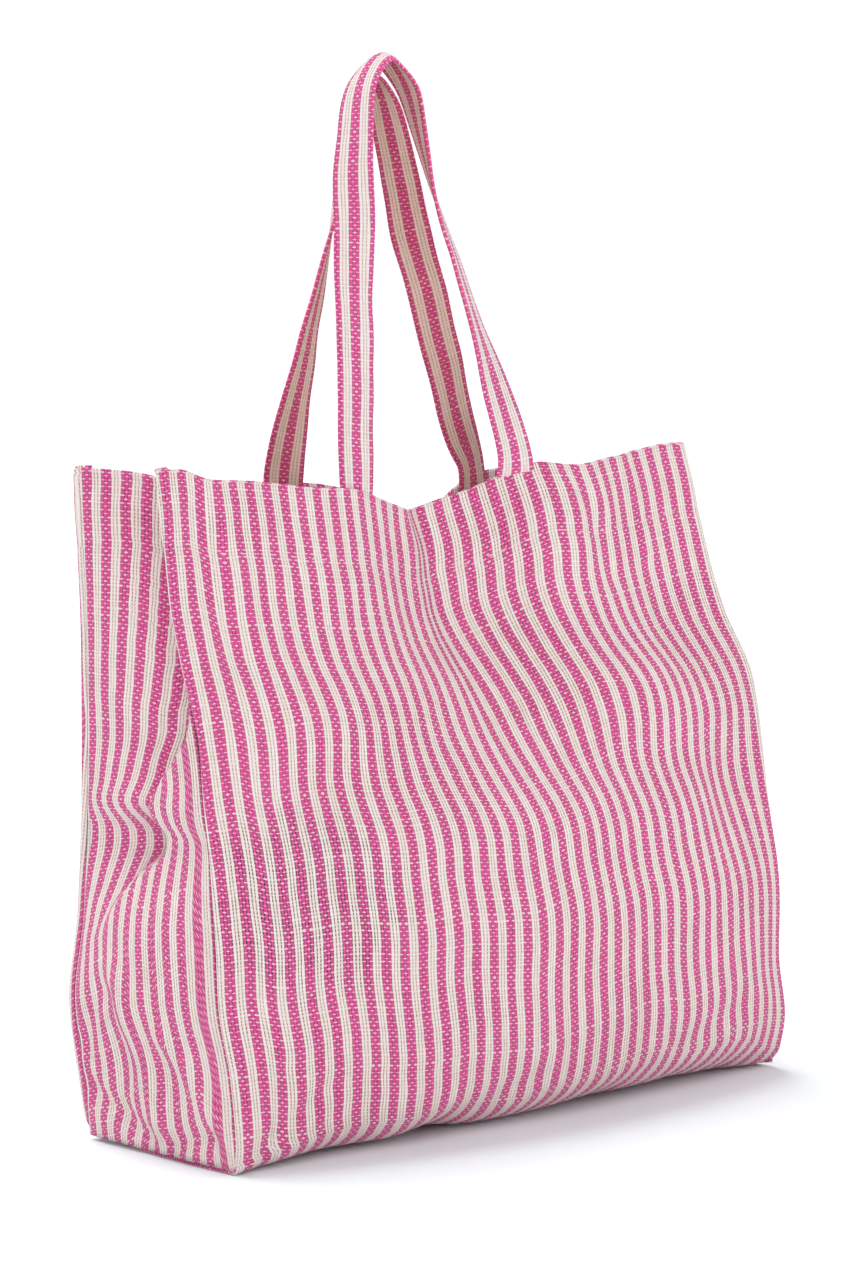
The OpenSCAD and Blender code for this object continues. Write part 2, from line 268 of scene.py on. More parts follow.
def gusset_way(z, left, at_front):
    """Direction from a corner seam along the gusset."""
    z = np.asarray(z, float)
    near = np.full(z.shape, 0.0 if at_front else 1.0)
    further = np.full(z.shape, 0.08 if at_front else 0.9)
    return unit(gusset_point(further, z, left) - gusset_point(near, z, left))


# ---- making meshes ----
def sheet_object(name, grid, uv, material, thickness=CLOTH_T):
    """Mesh of a grid of points in mm, rows by columns, with cloth coordinates in mm as its UVs."""
    rows, cols = grid.shape[:2]
    mesh = bpy.data.meshes.new(name)
    faces = []
    for i in range(rows - 1):
        for j in range(cols - 1):
            a, b = i * cols + j, (i + 1) * cols + j
            faces.append((a, b, b + 1, a + 1))
    mesh.from_pydata((grid.reshape(-1, 3) * MM).tolist(), [], faces)
    layer = mesh.uv_layers.new(name="UVMap")
    loops = np.empty(len(mesh.loops), dtype=np.int32)
    mesh.loops.foreach_get("vertex_index", loops)
    coords = uv.reshape(-1, 2)[loops] * MM
    layer.data.foreach_set("uv", coords.ravel())
    mesh.polygons.foreach_set("use_smooth", [True] * len(mesh.polygons))
    mesh.materials.append(material)
    mesh.update()
    piece = bpy.data.objects.new(name, mesh)
    bpy.context.collection.objects.link(piece)
    if thickness:
        solid = piece.modifiers.new("cloth thickness", "SOLIDIFY")
        solid.thickness = thickness * MM
        solid.offset = -1
        solid.use_quality_normals = True
    return piece


def arc_lengths(points, axis):
    steps = np.linalg.norm(np.diff(points, axis=axis), axis=-1)
    pad = [(0, 0), (0, 0)]
    pad[axis] = (1, 0)
    return np.pad(np.cumsum(steps, axis=axis), pad)


def thread_piece(name, runs, radius=0.3):
    """Short or long runs of sewing thread as one curve object."""
    curve = bpy.data.curves.new(name, "CURVE")
    curve.dimensions = "3D"
    curve.bevel_depth = radius * MM
    curve.bevel_resolution = 1
    for run in runs:
        spline = curve.splines.new("POLY")
        spline.points.add(len(run) - 1)
        for point, p in zip(spline.points, run):
            point.co = (p[0] * MM, p[1] * MM, p[2] * MM, 1)
    curve.materials.append(thread_finish)
    piece = bpy.data.objects.new(name, curve)
    bpy.context.collection.objects.link(piece)
    return piece


# ---- materials ----
class Graph:
    """Small helper that adds shader nodes and links them."""

    def __init__(self, material):
        material.use_nodes = True
        self.tree = material.node_tree
        self.tree.nodes.clear()
        self.out = self.tree.nodes.new("ShaderNodeOutputMaterial")
        self.shader = self.tree.nodes.new("ShaderNodeBsdfPrincipled")
        self.tree.links.new(self.shader.outputs[0], self.out.inputs[0])

    def put(self, socket, value):
        if isinstance(value, bpy.types.NodeSocket):
            self.tree.links.new(value, socket)
        else:
            socket.default_value = value

    def math(self, op, a, b=0.0, c=0.0):
        node = self.tree.nodes.new("ShaderNodeMath")
        node.operation = op
        for socket, value in zip(node.inputs, (a, b, c)):
            self.put(socket, value)
        return node.outputs[0]

    def ramp(self, value, low, high, to_low=0.0, to_high=1.0):
        node = self.tree.nodes.new("ShaderNodeMapRange")
        node.interpolation_type = "SMOOTHSTEP"
        for k, v in enumerate((value, low, high, to_low, to_high)):
            self.put(node.inputs[k], v)
        return node.outputs[0]

    def mix(self, share, a, b, blend="MIX"):
        node = self.tree.nodes.new("ShaderNodeMix")
        node.data_type = "RGBA"
        node.blend_type = blend
        self.put(node.inputs[0], share)
        self.put(node.inputs[6], a)
        self.put(node.inputs[7], b)
        return node.outputs[2]

    def vector(self, x, y, z=0.0):
        node = self.tree.nodes.new("ShaderNodeCombineXYZ")
        for socket, value in zip(node.inputs, (x, y, z)):
            self.put(socket, value)
        return node.outputs[0]

    def noise(self, vector, scale=1.0, detail=2.0):
        node = self.tree.nodes.new("ShaderNodeTexNoise")
        self.put(node.inputs["Vector"], vector)
        node.inputs["Scale"].default_value = scale
        node.inputs["Detail"].default_value = detail
        return node.outputs[0]

    def chance(self, vector):
        node = self.tree.nodes.new("ShaderNodeTexWhiteNoise")
        node.noise_dimensions = "3D"
        self.put(node.inputs["Vector"], vector)
        return node.outputs[0]

    def bump(self, height, distance, strength=1.0):
        node = self.tree.nodes.new("ShaderNodeBump")
        node.inputs["Strength"].default_value = strength
        node.inputs["Distance"].default_value = distance
        self.put(node.inputs["Height"], height)
        return node.outputs[0]


def srgb(r, g, b):
    def one(c):
        c /= 255
        return c / 12.92 if c <= 0.04045 else ((c + 0.055) / 1.055) ** 2.4
    return (one(r), one(g), one(b), 1.0)


PINK = srgb(213, 82, 147)
PINK_DEEP = srgb(188, 52, 117)
CREAM = srgb(228, 215, 212)
CREAM_WARM = srgb(214, 194, 184)


def weave_material(name, hole_depth=1.0, painted_shade_from=None, open_at=None):
    """Plain weave of thick slubby threads, from cloth coordinates in metres.

    Lengthwise threads come in threes, pink then cream; the crosswise ones are all cream and show
    as short dashes where they pass over. Small holes are left between the threads; their colour is
    painted shade, the shaded inside of the bag seen through them. Past the given shade distance, in
    mm across, painted shade makes the colour deeper and warmer. open_at is the middle and half size
    of a looser patch, where the holes get darker painted shade."""
    material = bpy.data.materials.new(name)
    g = Graph(material)
    uv = g.tree.nodes.new("ShaderNodeUVMap")
    uv.uv_map = "UVMap"
    split = g.tree.nodes.new("ShaderNodeSeparateXYZ")
    g.tree.links.new(uv.outputs[0], split.inputs[0])
    x = g.math("MULTIPLY", split.outputs[0], 1000.0)
    y = g.math("MULTIPLY", split.outputs[1], 1000.0)

    # threads wander a little and vary in thickness
    drift = g.noise(g.vector(g.math("MULTIPLY", x, 0.22), g.math("MULTIPLY", y, 0.035)), 1.0, 2.0)
    sway = g.noise(g.vector(g.math("MULTIPLY", x, 0.03), g.math("MULTIPLY", y, 0.30), 7.0), 1.0, 2.0)
    xs = g.math("ADD", x, g.math("MULTIPLY_ADD", drift, 1.5, -0.75))
    ys = g.math("ADD", y, g.math("MULTIPLY_ADD", sway, 2.2, -1.1))

    column = g.math("DIVIDE", xs, WARP)
    row = g.math("DIVIDE", ys, WEFT)
    column_id = g.math("FLOOR", column)
    row_id = g.math("FLOOR", row)
    across = g.math("ABSOLUTE", g.math("SUBTRACT", g.math("FRACT", column), 0.5))
    along = g.math("ABSOLUTE", g.math("SUBTRACT", g.math("FRACT", row), 0.5))
    over = g.math("MULTIPLY", 2.0, g.math("FRACT", g.math("MULTIPLY", 0.5, g.math(
        "ADD", column_id, row_id))))
    pink = g.math("LESS_THAN", g.math("FRACT", g.math("DIVIDE", g.math(
        "ADD", column_id, 0.5), 6.0)), 0.5)

    column_luck = g.chance(g.vector(column_id, 3.0))
    row_luck = g.chance(g.vector(5.0, row_id))
    cell_luck = g.chance(g.vector(column_id, row_id, 2.0))
    slub = g.noise(g.vector(g.math("MULTIPLY", column_id, 7.3), g.math("MULTIPLY", y, 0.09)), 1.0, 2.0)
    weft_slub = g.noise(g.vector(g.math("MULTIPLY", x, 0.06), g.math("MULTIPLY", row_id, 5.1)), 1.0, 2.0)

    # a crosswise thread shows as a dash, thicker where it has a slub
    thick_row = g.math("GREATER_THAN", row_luck, 0.955)
    dash_half = g.math("MULTIPLY_ADD", weft_slub, 0.15, g.math("MULTIPLY_ADD", thick_row, 0.12, 0.03))
    dash = g.math("MULTIPLY", over, g.ramp(g.math("SUBTRACT", along, dash_half), -0.05, 0.06, 1.0, 0.0))
    dash = g.math("MULTIPLY", dash, g.ramp(across, 0.46, 0.52, 1.0, 0.6))
    # holes between neighbouring threads; they also set where the painted shade of the inside shows
    hole_edge = g.math("MULTIPLY_ADD", slub, 0.24, 0.19)
    hole = g.math("MULTIPLY", g.ramp(g.math("SUBTRACT", across, hole_edge), -0.03, 0.09),
                  g.ramp(along, 0.12, 0.30, 0.22, 1.0))
    hole = g.math("MULTIPLY", hole, g.math("MULTIPLY_ADD", cell_luck, 0.4, 0.75))
    open_patch = g.ramp(g.noise(g.vector(g.math("MULTIPLY", x, 0.012), g.math("MULTIPLY", y, 0.012), 3.3),
                                1.0, 3.0), 0.50, 0.66, 0.78, 1.15)
    hole = g.math("MULTIPLY", hole, g.math("MULTIPLY", open_patch, hole_depth))

    fibre = g.noise(g.vector(g.math("MULTIPLY", x, 3.5), g.math("MULTIPLY", y, 0.8)), 1.0, 3.0)
    pink_tone = g.mix(g.math("MULTIPLY_ADD", fibre, 0.5, g.math("MULTIPLY_ADD", column_luck, 0.25, -0.12)),
                      PINK, PINK_DEEP)
    cream_tone = g.mix(g.math("MULTIPLY_ADD", fibre, 0.6, g.math("MULTIPLY_ADD", column_luck, 0.4, -0.25)),
                       CREAM, CREAM_WARM)
    warp_tone = g.mix(pink, cream_tone, pink_tone)
    weft_tone = g.mix(g.math("MULTIPLY", row_luck, 0.8), CREAM, CREAM_WARM)
    # painted shade: the holes take the colour of the bag's shaded inside, tan behind the cream threads and
    # deep magenta behind the pink ones
    painted_hole_shade = g.mix(pink, srgb(168, 122, 112), srgb(142, 30, 82))
    if open_at:  # a looser patch, with more holes, where darker painted shade of the bag's inside shows between the threads
        aside = g.math("MULTIPLY", g.math("SUBTRACT", x, open_at[0]), 1 / open_at[2])
        below = g.math("MULTIPLY", g.math("SUBTRACT", y, open_at[1]), 1 / open_at[3])
        far = g.math("SQRT", g.math("ADD", g.math("MULTIPLY", aside, aside),
                                    g.math("MULTIPLY", below, below)))
        blotch = g.noise(g.vector(g.math("MULTIPLY", x, 0.05), g.math("MULTIPLY", y, 0.05), 9.0), 1.0, 2.0)
        loose_and_shaded = g.ramp(g.math("SUBTRACT", far, g.math("MULTIPLY", blotch, 0.9)), 0.25, 0.8, 1.0, 0.0)
        loose_and_shaded = g.math("MULTIPLY", loose_and_shaded, g.math("MULTIPLY_ADD", cell_luck, 0.5, 0.5))
        # darker painted shade in the holes of the patch
        painted_hole_shade = g.mix(loose_and_shaded, painted_hole_shade, g.mix(pink, srgb(100, 70, 74), srgb(70, 16, 42)))
        hole = g.math("MULTIPLY", hole, g.math("MULTIPLY_ADD", loose_and_shaded, 0.8, 1.0))
    colour = g.mix(hole, warp_tone, painted_hole_shade)
    colour = g.mix(dash, colour, weft_tone)

    if painted_shade_from:  # the side of a strap that faces into its loop gets painted shade: its colour is multiplied deeper and warmer
        inner = g.ramp(x, painted_shade_from, painted_shade_from + 1.0)
        colour = g.mix(g.math("MULTIPLY", inner, 0.9), colour, (0.86, 0.69, 0.60, 1), "MULTIPLY")

    # rounded threads, rising where they pass over
    warp_rise = g.math("SUBTRACT", 1.0, g.math("MULTIPLY", 3.6, g.math("MULTIPLY", across, across)))
    warp_rise = g.math("MULTIPLY", warp_rise, g.math("SUBTRACT", 1.0, g.math("MULTIPLY", 0.6, dash)))
    height = g.math("ADD", warp_rise, g.math("MULTIPLY", dash, 0.55))
    height = g.math("SUBTRACT", height, g.math("MULTIPLY", hole, 0.5))
    height = g.math("ADD", height, g.math("MULTIPLY", fibre, 0.25))

    s = g.shader
    g.put(s.inputs["Base Color"], colour)
    g.put(s.inputs["Roughness"], g.ramp(fibre, 0.3, 0.7, 0.82, 0.94))
    s.inputs["Specular IOR Level"].default_value = 0.2
    s.inputs["Sheen Weight"].default_value = 0.12
    s.inputs["Sheen Roughness"].default_value = 0.6
    g.put(s.inputs["Normal"], g.bump(height, 0.0005, 0.75))
    return material


def thread_material(name):
    """Twisted cream sewing thread."""
    material = bpy.data.materials.new(name)
    g = Graph(material)
    place = g.tree.nodes.new("ShaderNodeTexCoord")
    twist = g.tree.nodes.new("ShaderNodeTexWave")
    twist.bands_direction = "DIAGONAL"
    twist.inputs["Scale"].default_value = 900.0
    twist.inputs["Distortion"].default_value = 1.5
    g.tree.links.new(place.outputs["Object"], twist.inputs["Vector"])
    g.put(g.shader.inputs["Base Color"], g.mix(twist.outputs[1], srgb(238, 230, 222), srgb(214, 200, 190)))
    g.put(g.shader.inputs["Normal"], g.bump(twist.outputs[1], 0.0001, 0.5))
    g.shader.inputs["Roughness"].default_value = 0.8
    return material


def floor_material():
    material = bpy.data.materials.new("pale_floor")
    g = Graph(material)
    # very slightly cool, which takes out the pink that the bag throws into its own shadow
    g.shader.inputs["Base Color"].default_value = (0.89, 0.965, 0.98, 1)
    g.shader.inputs["Roughness"].default_value = 0.95
    g.shader.inputs["Specular IOR Level"].default_value = 0.0
    return material


cloth_finish = weave_material("striped_cloth")
# the front's looser patch, whose holes get darker painted shade
body_finish = weave_material("striped_cloth_body", open_at=(58, 304, 66, 52))
# the strap's face inside its loop lies past 62 mm across, so it gets painted shade
strap_finish = weave_material("handle_strap", 0.8, painted_shade_from=62.0)
thread_finish = thread_material("sewing_thread")

# ---- the long cloth: front, base and back in one piece ----
# how far the first pink stripe lies from the seam, by height
STRIPE_LEAN = [[0, 12], [110, 12], [160, 11], [190, 9], [225, 6.5], [255, 4.5], [290, 6], [410, 7]]
EDGE_IN = 6.0          # the wall proper starts this far from its corner seam
ROLL = np.array([(0.4, 4.6), (-0.7, 3.6), (-1.1, 2.0), (-0.6, 0.5), (0.9, -0.5), (3.0, -0.7)])
COLS = 171
STRIPES = 36           # across the front at the top edge
FOLD_STRIPES = 1.6     # more of them are hidden in the fold under the dip


def hem_swell(d):
    """How far the outside stands out at depth d: full over the hem, drawn in at its stitches."""
    return -0.5 * bump(d, HEM_H - 1, 4.5) + 0.7 * bump(d, HEM_H / 2, 14)


def long_cloth():
    u = np.linspace(EDGE_IN / BASE_W, 1 - EDGE_IN / BASE_W, COLS)

    def side(point, top, face):
        """Rows from the hem's inner edge, over the top and down to the foot."""
        made = []
        for d in HEM_ROWS:
            z = top(u) - d
            n = wall_normal(point, u, z, face)
            puff = 0.5 * bump(d, 24, 14)
            made.append((point(u, z) - (HEM_GAP + puff) * n, ("in", d)))
        for a in FOLD_TURNS:
            z = top(u) - 1.4
            n = wall_normal(point, u, z, face)
            lift = HEM_GAP / 2 * math.sin(a) * np.array([0.0, 0.0, 1.0])
            made.append((point(u, z) - HEM_GAP / 2 * n * (1 - math.cos(a)) + lift, ("fold", 0)))
        foot = foot_radius(u, face)
        for k in range(WALL_ROWS + 1):
            z = mix(top(u) - 1.6, foot, k / WALL_ROWS)
            n = wall_normal(point, u, z, face)
            d = top(u) - z
            made.append((point(u, z) + hem_swell(d)[:, None] * n, ("out", z)))
        for a in np.radians([18, 36, 54, 72, 90]):
            z = foot * (1 - math.sin(a))
            p = point(u, z)
            p[:, 1] -= face * foot * (1.25 if face < 0 else 0.9) * (1 - math.cos(a))
            made.append((p, ("roll", a)))
        return made

    front = side(front_point, front_top, -1)
    back = side(back_point, back_top, 1)[::-1]
    start, end = front[-1][0], back[0][0]
    base = []
    for k in range(1, 26):
        t = k / 26
        p = mix(start, end, t)
        p[:, 2] = 0.0
        base.append((p, ("base", t)))
    every = front + base + back
    grid = np.stack([p for p, _ in every])
    tags = [t for _, t in every]
    sides = ["front"] * len(front) + ["base"] * len(base) + ["back"] * len(back)

    # the base rests on the floor, lifting a little here and there
    lift = 0.4 + 1.8 * ripple(grid, 70, 11.0)
    lift = lift + 5 * bump(grid[..., 0], -225, 40) * bump(grid[..., 1], 62, 34)
    scallop = 5 * bump(u, 0.33, 0.05) + 3.5 * bump(u, 0.62, 0.07) + 3 * bump(u, 0.8, 0.05) + 1.0
    lift = lift + scallop * bump(grid[..., 1], -85, 38)
    low = np.clip(1 - grid[..., 2] / 26, 0, 1)
    grid[..., 2] += np.clip(lift, 0.0, None) * low

    # soft creases, fading out towards the seams
    normal = hem_follows_wall(grid_normals(grid), both_ends=True)
    fade = np.clip(np.minimum(u, 1 - u) / 0.06, 0, 1)[None, :]
    wrinkle = 1.5 * ripple(grid, 55, 3.0) + 0.45 * ripple(grid, 17, 5.0)
    grid += (wrinkle * fade)[..., None] * normal * np.where(grid[..., 2:] < 6, 0.2, 1.0)

    normal = grid_normals(grid)
    stitch_lines = []
    for point_top, face in ((front_top, -1), (back_top, 1)):
        outer = [i for i, (t, where) in enumerate(zip(tags, sides))
                 if t[0] == "out" and where == ("front" if face < 0 else "back")]
        outer = outer if face < 0 else outer[::-1]
        top = point_top(u)
        k = (HEM_H - 3.0) / (top - 1.6 - foot_radius(u, face)) * WALL_ROWS
        i, f = k.astype(int), (k - k.astype(int))[:, None]
        at, past = np.array(outer)[i], np.array(outer)[i + 1]
        col = np.arange(len(u))
        stitch_lines.append((mix(grid[at, col], grid[past, col], f), normal[at, col]))

    way_left, way_right = corner_ways(grid, tags, sides)
    left = edge_columns(grid[:, 0], grid[:, 3], way_left, tags)
    right = edge_columns(grid[:, -1], grid[:, -4], way_right, tags)
    full = np.concatenate([left, grid, right[:, ::-1]], axis=1)

    across = arc_lengths(full, 1)
    first, last = left.shape[1] - len(ROLL), full.shape[1] - 1 - (right.shape[1] - len(ROLL))
    seam_to_seam = across[:, last:last + 1] - across[:, first:first + 1]
    # the fold under the front's dip takes up some cloth, so the stripes fan out below it
    taken = FOLD_STRIPES * np.clip((full[:, 10:11, 2] - 215) / 150, 0, 1) ** 1.3
    taken[len(front):] = 0
    place = (across - across[:, first:first + 1]) / seam_to_seam
    fold = np.clip((place - 0.462) / 0.035, 0, 1)
    across = (place * (STRIPES + FOLD_STRIPES - taken) + taken * fold * fold * (3 - 2 * fold)) * STRIPE
    # the stripes run a few millimetres out of line with the corner seam
    across -= (smooth_line(full[:, 10, 2], STRIPE_LEAN, 1) - STRIPE / 4)[:, None]
    down = arc_lengths(full, 0)
    return full, np.stack([across, down], -1), stitch_lines


def foot_radius(u, face):
    """How high up the cloth starts to turn under."""
    if face < 0:
        return 7 + 19 * np.clip(u / 0.16, 0, 1) * np.clip((1 - u) / 0.1, 0.3, 1) + 2.5 * np.sin(9 * u)
    return 9 + 2 * np.sin(5 * u + 1)


def grid_normals(grid):
    down = np.gradient(grid, axis=0)
    across = np.gradient(grid, axis=1)
    return unit(np.cross(down, across))


def hem_follows_wall(normal, both_ends=False):
    """Normals that all point out of the bag, so a hem creases together with its wall."""
    inner_rows, fold_rows = len(HEM_ROWS), len(FOLD_TURNS)
    normal = normal.copy()
    ends = [normal, normal[::-1]] if both_ends else [normal]
    for rows in ends:
        rows[:inner_rows] *= -1
        rows[inner_rows:inner_rows + fold_rows] = rows[inner_rows + fold_rows]
    return normal


def corner_ways(grid, tags, sides):
    """Direction from each row's edge along the gusset beside it."""
    ways = []
    for left, col in ((True, 0), (False, -1)):
        way = np.zeros((len(tags), 3))
        for i, (tag, where) in enumerate(zip(tags, sides)):
            if where == "base":
                way[i] = (0, 0, 1)
            else:
                z = max(grid[i, col, 2], 0.0)
                way[i] = gusset_way(z, left, where == "front")
                if tag[0] == "roll":
                    way[i] = way[i] * math.cos(tag[1]) + np.array([0, 0, 1]) * math.sin(tag[1])
        ways.append(unit(way))
    return ways


def edge_columns(edge, inner, way, tags):
    """The cloth's edge rolled round the corner seam, then its allowance inside the bag."""
    w = unit(inner - edge)
    e2 = unit(way - (way * w).sum(-1, keepdims=True) * w)
    size = np.array([{"in": 0.3, "fold": 0.65, "out": 1.0, "roll": 0.6, "base": 0.3}[t[0]]
                     for t in tags])[:, None]
    corner_at = edge - EDGE_IN * w
    cols = [corner_at + (a * w + b * e2) * size for a, b in ROLL]
    inside = unit(w + way)
    seam = cols[0]
    tips = [seam + SEAM_W * inside, seam + SEAM_W * 0.5 * inside, seam + 1.2 * inside]
    return np.stack(tips + cols, axis=1)



body_grid, body_uv, hem_lines = long_cloth()
body_cloth = sheet_object("body_cloth", body_grid, body_uv, body_finish)


# ---- gussets ----
GUSSET_COLS = 65
GUSSET_W = 145.0       # cut a little narrower than the base, between its seams


def seam_point(z, left, at_front, size):
    """Where the gusset meets the rolled edge of the long cloth, and the way into the bag."""
    u0, u1 = (0.0, 0.02) if left else (1.0, 0.98)
    point = front_point if at_front else back_point
    base = point(np.full(z.shape, u0), z)
    w = unit(point(np.full(z.shape, u1), z) - base)
    way = gusset_way(z, left, at_front)
    e2 = unit(way - (way * w).sum(-1, keepdims=True) * w)
    a, b = ROLL[0]
    size = np.asarray(size)[..., None]
    return base, base + (a * w + (b + 0.5) * e2) * size, unit(w + way)


def gusset_cloth(left):
    s = np.linspace(1, 0, GUSSET_COLS) if left else np.linspace(0, 1, GUSSET_COLS)
    side = 1 if left else -1
    rows = []

    def add(z, push, size):
        p = gusset_point(s, z, left)
        across = gusset_point(s + 0.01, z, left) - gusset_point(s - 0.01, z, left)
        up = gusset_point(s, z + 2, left) - gusset_point(s, z - 2, left)
        n = unit(np.cross(up, across)) * side
        fade = np.clip(np.minimum(s, 1 - s) / 0.1, 0, 1)[:, None]
        p = p + n * (push * fade if np.ndim(push) == 0 else push[:, None] * fade)
        for at_front in (True, False):
            base, seam, _ = seam_point(z, left, at_front, np.full(z.shape, size))
            reach = np.clip(1 - (s if at_front else 1 - s) / 0.14, 0, 1)[:, None] ** 1.6
            p = p + (seam - base) * reach
        rows.append(p)
        return p, n

    top = gusset_top(s, left)
    for d in HEM_ROWS:
        add(top - d, -HEM_GAP, 0.3)
    for a in FOLD_TURNS:
        p, n = add(top - 1.4, -HEM_GAP / 2 * (1 - math.cos(a)), 0.3 + 0.7 * math.cos(a / 2))
        p[:, 2] += HEM_GAP / 2 * math.sin(a)
    foot = 2.8
    for k in range(WALL_ROWS + 1):
        z = mix(top - 1.6, foot, k / WALL_ROWS)
        add(z, hem_swell(top - z), 1.0 - 0.5 * (k / WALL_ROWS) ** 20)
    grid = np.stack(rows)
    wrinkle = 0.9 * ripple(grid, 45, 21.0) + 0.4 * ripple(grid, 15, 23.0)
    fade = np.clip(np.minimum(s, 1 - s) / 0.15, 0, 1)[None, :]
    grid += (wrinkle * fade)[..., None] * hem_follows_wall(grid_normals(grid))

    # allowance at the foot, then those at both corners
    under = [grid[-1] + np.array([side * 0.7, 0, 0.7]) * r for r in (1.2, 4.0, 7.5)]
    for p in under:
        p[:, 1] = np.clip(p[:, 1], grid[-1, :, 1].min() + 3, grid[-1, :, 1].max() - 3)
    grid = np.concatenate([grid, np.stack(under)])
    ends = []
    for at_front in (True, False):
        col = grid[:, 0] if at_front != left else grid[:, -1]
        _, _, inside = seam_point(np.clip(col[:, 2], 3, BAG_H), left, at_front,
                                  np.ones(len(col)))
        ends.append([col + r * inside for r in (1.2, 4.0, SEAM_W)])
    front_end, back_end = ends
    first, last = (back_end, front_end) if left else (front_end, back_end)
    grid = np.concatenate([np.stack(first[::-1], 1), grid, np.stack(last, 1)], axis=1)

    across = arc_lengths(grid, 1)
    across = across - across[:, 3:4]
    width = across[:, -4:-3]
    across = across * GUSSET_W / width if left else (across - width) * GUSSET_W / width
    across -= 5.4 - STRIPE / 4
    return grid, np.stack([across, arc_lengths(grid, 0)], -1)


gussets = {}
for left in (True, False):
    name = "left_gusset_cloth" if left else "right_gusset_cloth"
    grid, uv = gusset_cloth(left)
    gussets[name] = sheet_object(name, grid, uv, cloth_finish)


# ---- handles: rows of x, y, height over the top edge, and the way the width points, in degrees ----
STRAP_ROWS = 220
FRONT_LOOP = [[-80, -18, -12, -3], [-73, -10, 37, -6], [-65, -1, 98, -14], [-57, 8, 159, -42],
              [-52, 12, 190, -66], [-43, 15, 232, -84], [-24, 16, 250, -90], [-6, 15, 231, -98],
              [5, 12, 190, -118], [11, 6, 155, -134], [20, -1, 120, -141], [27, -12, 78, -150],
              [35, -21, 38, -176], [43, -27, 0.5, -187]]
BACK_LOOP = [[-76, 57, -10, -24], [-69, 55, 28, 2], [-61, 47, 80, 28], [-53, 40, 125, 44],
             [-45, 34, 170, 64], [-38, 30, 215, 82], [-25, 29, 238, 90], [-12, 30, 222, 100],
             [1, 32, 180, 118], [16, 38, 140, 138], [34, 44, 104, 152], [55, 51, 55, 162],
             [72, 57, 14, 174], [84, 60, -7, 188]]


def tab_rows(x, at_front, turn_by):
    """The strap's end, flat against the inside of the hem, as loop rows from the bottom up."""
    point, top, face = ((front_point, front_top, -1) if at_front else (back_point, back_top, 1))
    lo, hi = point(np.array([0.0, 1.0]), np.array([400.0, 400.0]))[:, 0]
    u = np.array([(x - lo) / (hi - lo)])
    rows = []
    for d in (TAB_H, 22.0, 10.0):
        z = top(u) - d
        n = wall_normal(point, u, z, face)[0]
        p = point(u, z)[0] - (HEM_GAP + STRAP_T / 2 + 0.4) * n
        t = point(u + 0.01, z)[0] - point(u - 0.01, z)[0]
        rows.append([p[0], p[1], p[2] - BAG_H, math.degrees(math.atan2(t[1], t[0])) + turn_by])
    return rows


def strap(name, loop, at_front):
    turn_end = -180 if at_front else 180
    path = (tab_rows(loop[0][0], at_front, 0.0) + loop
            + tab_rows(loop[-1][0], at_front, turn_end)[::-1])
    path = np.array(path, float)
    t = np.linspace(0, len(path) - 1, STRAP_ROWS)
    k = np.minimum(t.astype(int), len(path) - 2)
    f = (t - k)[:, None]
    q = [path[np.clip(k + i, 0, len(path) - 1)] for i in (-1, 0, 1, 2)]
    row = ((2 * q[1]) + (q[2] - q[0]) * f + (2 * q[0] - 5 * q[1] + 4 * q[2] - q[3]) * f ** 2
           + (3 * q[1] - q[0] - 3 * q[2] + q[3]) * f ** 3) / 2
    centre = row[:, :3] + np.array([0, 0, BAG_H])
    way = unit(np.gradient(centre, axis=0))
    turn = np.radians(row[:, 3])
    across = np.stack([np.cos(turn), np.sin(turn), np.zeros(STRAP_ROWS)], -1)
    across = unit(across - (across * way).sum(-1, keepdims=True) * way)
    out = np.cross(across, way)

    # folded band: two flat faces, slightly hollow along the middle, between rounded edges
    half, thick = STRAP_W / 2, STRAP_T / 2
    flat = half - 0.6 * thick
    face = ([(-half, 0.0), (-half + 0.3, 0.7 * thick)]
            + [(x, thick - 0.25 * bump(x, 0, 6)) for x in np.linspace(-flat, flat, 13)]
            + [(half - 0.3, 0.7 * thick), (half, 0.0)])
    profile = np.array(face + [(-x, -y) for x, y in face])
    length = arc_lengths(centre[:, None], 0)[:, 0]
    waver = np.array([noise.noise(Vector((l / 28, 3.0 if at_front else 9.0, 0))) for l in length])
    sway = np.array([noise.noise(Vector((l / 45, 1.0, 4.0 if at_front else 6.0))) for l in length])
    apex = bump(centre[:, 2], centre[:, 2].max(), 15)
    pinch = 1 + 0.05 * waver - 0.17 * apex
    grid = (centre[:, None] + across[:, None] * (profile[:, 0] * pinch[:, None])[..., None]
            + out[:, None] * profile[:, 1][None, :, None])
    bend = 0.8 * waver[:, None] + (-4.0 if at_front else 3.0) * apex[:, None]
    grid += out[:, None] * (bend * np.abs(profile[None, :, 0] / half) ** 1.6)[..., None]
    grid += across[:, None] * (1.2 * sway * np.clip((length - TAB_H) / 40, 0, 1)
                               * np.clip((length[-1] - length - TAB_H) / 40, 0, 1))[:, None, None]

    # a pink stripe runs along the middle of each face; the face inside the loop is set further along
    # the cloth, past the point from which painted shade makes its colour deeper and warmer
    stripe_at = np.where(np.arange(len(profile)) < len(face), profile[:, 0], -profile[:, 0])
    # the face inside the loop, which gets the painted shade
    inner = (np.arange(len(profile)) < len(face)) != at_front
    uv = np.empty(grid.shape[:2] + (2,))
    uv[..., 0] = stripe_at + STRIPE / 4 + 2 * STRIPE + np.where(inner, 6 * STRIPE, 0)
    uv[..., 1] = length[:, None]
    band = sheet_object(name, grid[:, ::-1], uv[:, ::-1], strap_finish, thickness=0)
    weld = band.modifiers.new("closed band", "WELD")
    weld.merge_threshold = 0.00002
    return band, grid


front_strap, front_strap_grid = strap("front_strap_band", FRONT_LOOP, True)
back_strap, back_strap_grid = strap("back_strap_band", BACK_LOOP, False)


